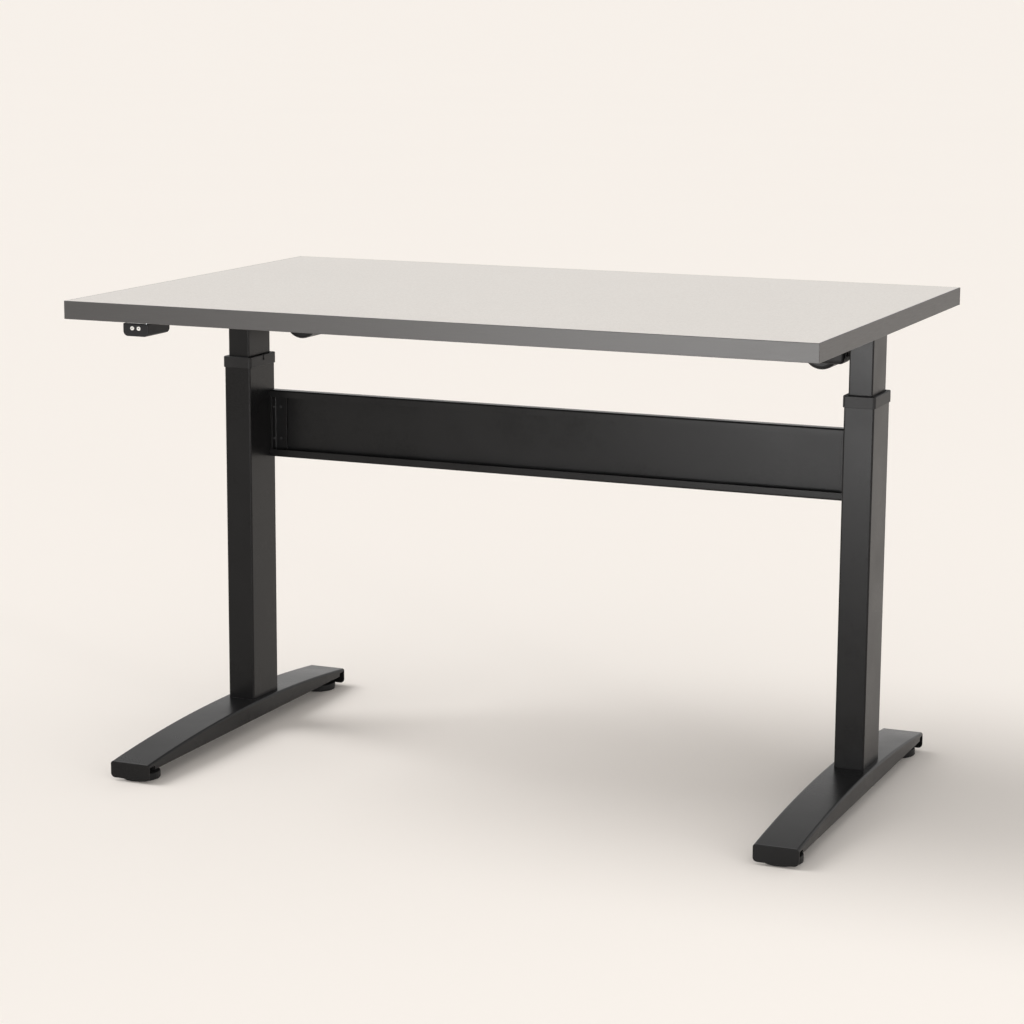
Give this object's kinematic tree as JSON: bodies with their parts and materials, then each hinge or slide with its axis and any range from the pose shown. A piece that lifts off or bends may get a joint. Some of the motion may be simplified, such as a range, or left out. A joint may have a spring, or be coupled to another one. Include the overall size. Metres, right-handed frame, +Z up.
{
  "type": "height adjustable standing desk",
  "caption": "Sit-stand desk: rectangular worktop on two powered telescopic columns with a lipped crossbar, arched steel feet, levelling glides and a handset.",
  "frame": {"origin": "on the floor, under the middle of the worktop", "axes": "+X along the front edge to the user's right, +Y away from the user, +Z up"},
  "size_m": [1.2, 0.79, 0.772],
  "materials": {
    "frame_paint": "satin black powder coat",
    "column_paint": "satin black powder coat",
    "collar_plastic": "moulded, fine matte",
    "glide_plastic": "moulded, matte",
    "zinc_hardware": "bright zinc plate",
    "black_hardware": "black zinc plate",
    "machined_steel": "turned steel",
    "acetal": "natural acetal",
    "motor_plastic": "moulded, semi-matte",
    "ferrite": "sintered",
    "control_plastic": "moulded, spark-eroded texture",
    "circuit_board": "green solder mask",
    "handset_plastic": "moulded, fine matte",
    "button_plastic": "pale keys",
    "board_core": "chipboard",
    "laminate": "pale warm grey, fine texture",
    "backer": "grey balancing sheet",
    "edge_band": "dark warm grey"
  },
  "bodies": {
    "base": {"foot_left": "frame_paint", "foot_right": "frame_paint", "column_blocks": "machined_steel", "foot_bolts": "zinc_hardware", "glide_inserts": "zinc_hardware", "column_lower_left": "frame_paint", "column_lower_right": "frame_paint", "collar_left": "collar_plastic", "collar_right": "collar_plastic", "guide_bushes": "acetal", "crossbar": "frame_paint", "crossbar_ends": "frame_paint", "crossbar_bolts": "black_hardware", "push_tubes": "machined_steel", "drive_nuts": "acetal"},
    "top": {"column_upper_left": "column_paint", "column_upper_right": "column_paint", "slide_shoes": "acetal", "head_blocks": "machined_steel", "spindle_bearings": "machined_steel", "head_screws": "zinc_hardware", "support_tray_left": "frame_paint", "support_tray_right": "frame_paint", "tray_screws": "zinc_hardware", "gearbox_left": "motor_plastic", "gearbox_right": "motor_plastic", "gear_bushes": "acetal", "motor_housing_left": "motor_plastic", "motor_housing_right": "motor_plastic", "motor_caps": "motor_plastic", "motor_magnets": "ferrite", "control_box": "control_plastic", "control_lid": "control_plastic", "control_board": "circuit_board", "power_inlet": "control_plastic", "control_sockets": "control_plastic", "control_screws": "zinc_hardware", "handset_case": "handset_plastic", "handset_mount": "zinc_hardware", "handset_board": "circuit_board", "worktop_core": "board_core", "worktop_laminate": "laminate", "worktop_backer": "backer", "edge_bands": "edge_band"},
    "glide_pad_front_left": {"glide_pad_front_left": "glide_plastic"},
    "glide_pad_front_right": {"glide_pad_front_right": "glide_plastic"},
    "glide_pad_rear_left": {"glide_pad_rear_left": "glide_plastic"},
    "glide_pad_rear_right": {"glide_pad_rear_right": "glide_plastic"},
    "glide_stud_front_left": {"glide_stud_front_left": "zinc_hardware"},
    "glide_stud_front_right": {"glide_stud_front_right": "zinc_hardware"},
    "glide_stud_rear_left": {"glide_stud_rear_left": "zinc_hardware"},
    "glide_stud_rear_right": {"glide_stud_rear_right": "zinc_hardware"},
    "layshaft_left": {"layshaft_left": "machined_steel"},
    "layshaft_right": {"layshaft_right": "machined_steel"},
    "spindle_left": {"spindle_left": "machined_steel"},
    "spindle_right": {"spindle_right": "machined_steel"},
    "rotor_left": {"rotor_left": "machined_steel"},
    "rotor_right": {"rotor_right": "machined_steel"},
    "button_up": {"button_up": "button_plastic"},
    "button_down": {"button_down": "button_plastic"}
  },
  "joints": [
    {"name": "lift", "type": "slide", "parent": "base", "child": "top", "axis": [0, 0, 1], "range_m": [-0.072, 0.391]},
    {"name": "spindle_left_turn", "type": "hinge", "parent": "top", "child": "spindle_left", "pos_m": [-0.5364, 0.081, 0.7], "axis": [0, 0, 1], "range_deg": [-3290, 17645]},
    {"name": "layshaft_left_turn", "type": "hinge", "parent": "top", "child": "layshaft_left", "pos_m": [-0.4822, 0.081, 0.7], "axis": [0, 0, 1], "range_deg": [-6833.4, 1276.6]},
    {"name": "rotor_left_turn", "type": "hinge", "parent": "top", "child": "rotor_left", "pos_m": [-0.4532, 0.081, 0.6945], "axis": [0, 1, 0], "range_deg": [-218528.4, 40711.6]},
    {"name": "spindle_right_turn", "type": "hinge", "parent": "top", "child": "spindle_right", "pos_m": [0.5364, 0.081, 0.7], "axis": [0, 0, 1], "range_deg": [-3290, 17645]},
    {"name": "layshaft_right_turn", "type": "hinge", "parent": "top", "child": "layshaft_right", "pos_m": [0.4822, 0.081, 0.7], "axis": [0, 0, 1], "range_deg": [-6833.4, 1276.6]},
    {"name": "rotor_right_turn", "type": "hinge", "parent": "top", "child": "rotor_right", "pos_m": [0.4532, 0.081, 0.6945], "axis": [0, 1, 0], "range_deg": [-40711.6, 218528.4]},
    {"name": "button_up_press", "type": "slide", "parent": "top", "child": "button_up", "axis": [0, 1, 0], "range_m": [0, 0.0008], "stiffness_N_per_m": 400, "springref_m": -0.001},
    {"name": "button_down_press", "type": "slide", "parent": "top", "child": "button_down", "axis": [0, 1, 0], "range_m": [0, 0.0008], "stiffness_N_per_m": 400, "springref_m": -0.001},
    {"name": "glide_front_left_height", "type": "slide", "parent": "base", "child": "glide_pad_front_left", "axis": [0, 0, -1], "range_m": [0, 0.008]},
    {"name": "glide_front_left_turn", "type": "hinge", "parent": "glide_pad_front_left", "child": "glide_stud_front_left", "pos_m": [-0.5364, -0.3, 0.01], "axis": [0, 0, 1], "range_deg": [-5, 2310]},
    {"name": "glide_front_right_height", "type": "slide", "parent": "base", "child": "glide_pad_front_right", "axis": [0, 0, -1], "range_m": [0, 0.008]},
    {"name": "glide_front_right_turn", "type": "hinge", "parent": "glide_pad_front_right", "child": "glide_stud_front_right", "pos_m": [0.5364, -0.3, 0.01], "axis": [0, 0, 1], "range_deg": [-5, 2310]},
    {"name": "glide_rear_left_height", "type": "slide", "parent": "base", "child": "glide_pad_rear_left", "axis": [0, 0, -1], "range_m": [0, 0.008]},
    {"name": "glide_rear_left_turn", "type": "hinge", "parent": "glide_pad_rear_left", "child": "glide_stud_rear_left", "pos_m": [-0.5364, 0.326, 0.01], "axis": [0, 0, 1], "range_deg": [-5, 2310]},
    {"name": "glide_rear_right_height", "type": "slide", "parent": "base", "child": "glide_pad_rear_right", "axis": [0, 0, -1], "range_m": [0, 0.008]},
    {"name": "glide_rear_right_turn", "type": "hinge", "parent": "glide_pad_rear_right", "child": "glide_stud_rear_right", "pos_m": [0.5364, 0.326, 0.01], "axis": [0, 0, 1], "range_deg": [-5, 2310]}
  ],
  "couplings": [
    {"joint": "spindle_left_turn", "follows": "lift", "rad_per_m": 785.4},
    {"joint": "layshaft_left_turn", "follows": "lift", "rad_per_m": -304.03},
    {"joint": "rotor_left_turn", "follows": "lift", "rad_per_m": -9728.8},
    {"joint": "spindle_right_turn", "follows": "lift", "rad_per_m": 785.4},
    {"joint": "layshaft_right_turn", "follows": "lift", "rad_per_m": -304.03},
    {"joint": "rotor_right_turn", "follows": "lift", "rad_per_m": 9728.8},
    {"joint": "glide_front_left_turn", "follows": "glide_front_left_height", "rad_per_m": 5026.5},
    {"joint": "glide_front_right_turn", "follows": "glide_front_right_height", "rad_per_m": 5026.5},
    {"joint": "glide_rear_left_turn", "follows": "glide_rear_left_height", "rad_per_m": 5026.5},
    {"joint": "glide_rear_right_turn", "follows": "glide_rear_right_height", "rad_per_m": 5026.5}
  ]
}
